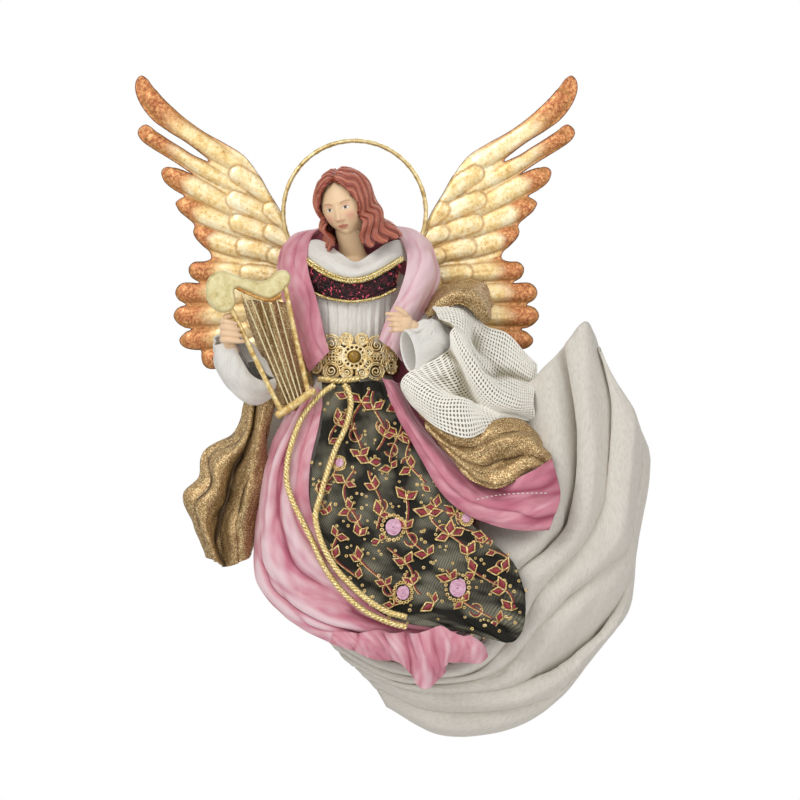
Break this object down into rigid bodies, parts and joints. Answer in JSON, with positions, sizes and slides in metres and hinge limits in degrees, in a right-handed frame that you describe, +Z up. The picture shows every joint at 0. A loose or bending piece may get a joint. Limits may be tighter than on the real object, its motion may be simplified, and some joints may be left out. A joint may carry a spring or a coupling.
{
  "type": "hanging angel figurine",
  "caption": "Hanging nativity angel with gilded wings and wire halo, holding a harp, in a draped linen, velvet and embroidered net gown with a swirling skirt.",
  "frame": {"origin": "centre of the back plate's rear face, which lies against the wall", "axes": "+Z up, +Y back into the wall, +X to the viewer's right; the figure faces -Y"},
  "size_m": [0.3104, 0.1019, 0.3978],
  "materials": {
    "gold_leaf": "gold leaf over embossed sheet, copper toned feather ends",
    "halo_wire": "antiqued wire",
    "steel": "plain",
    "board": "sawn board",
    "padding": "cut foam",
    "skin": "painted cast resin, satin",
    "hair": "painted cast resin, satin",
    "harp_gold": "pale antique gold paint on cast resin",
    "harp_copper": "copper brown paint",
    "string": "drawn wire",
    "tunic_linen": "fine off-white linen",
    "skirt_linen": "plain weave linen, warm grey beige",
    "velvet": "pink velvet",
    "sequin_cloth": "burgundy sequins on black",
    "gold_braid": "metallic thread",
    "filigree": "pierced scroll work",
    "cabochon": "amber glaze",
    "net": "embroidered dark net",
    "lame": "metallic bronze cloth",
    "knit": "cream open knit"
  },
  "bodies": {
    "root": {"wing_screw_1": "steel", "wing_screw_2": "steel", "wing_screw_3": "steel", "wing_screw_4": "steel", "hanging_loop": "steel", "right_arm_wire": "steel", "left_arm_wire": "steel", "back_plate": "board", "right_wing": "gold_leaf", "left_wing": "gold_leaf", "halo_ring": "halo_wire", "torso_form": "padding", "skirt_form": "padding", "head_casting": "skin", "right_hand": "skin", "left_hand": "skin", "hair_casting": "hair", "harp_neck": "harp_gold", "harp_outer_post": "harp_gold", "harp_inner_post": "harp_gold", "harp_base": "harp_copper", "harp_string_rail": "harp_copper", "harp_string_1": "string", "harp_string_2": "string", "harp_string_3": "string", "harp_string_4": "string", "harp_string_5": "string", "bodice": "tunic_linen", "cowl": "tunic_linen", "right_sleeve": "tunic_linen", "left_sleeve": "tunic_linen", "left_cuff": "tunic_linen", "sequin_band": "sequin_cloth", "neckline_braid": "gold_braid", "chest_piping": "gold_braid", "belt_band": "gold_braid", "girdle_waist": "gold_braid", "girdle_strand_outer": "gold_braid", "girdle_strand_inner": "gold_braid", "belt_filigree": "filigree", "belt_stone": "cabochon", "linen_skirt": "skirt_linen", "velvet_stole": "velvet", "velvet_drape_right": "velvet", "velvet_drape_left": "velvet", "velvet_frill": "velvet", "embroidered_panel": "net", "knit_wrap": "knit", "mantle_lower": "lame", "mantle_shoulder": "lame", "mantle_tail": "lame"}
  },
  "joints": []
}
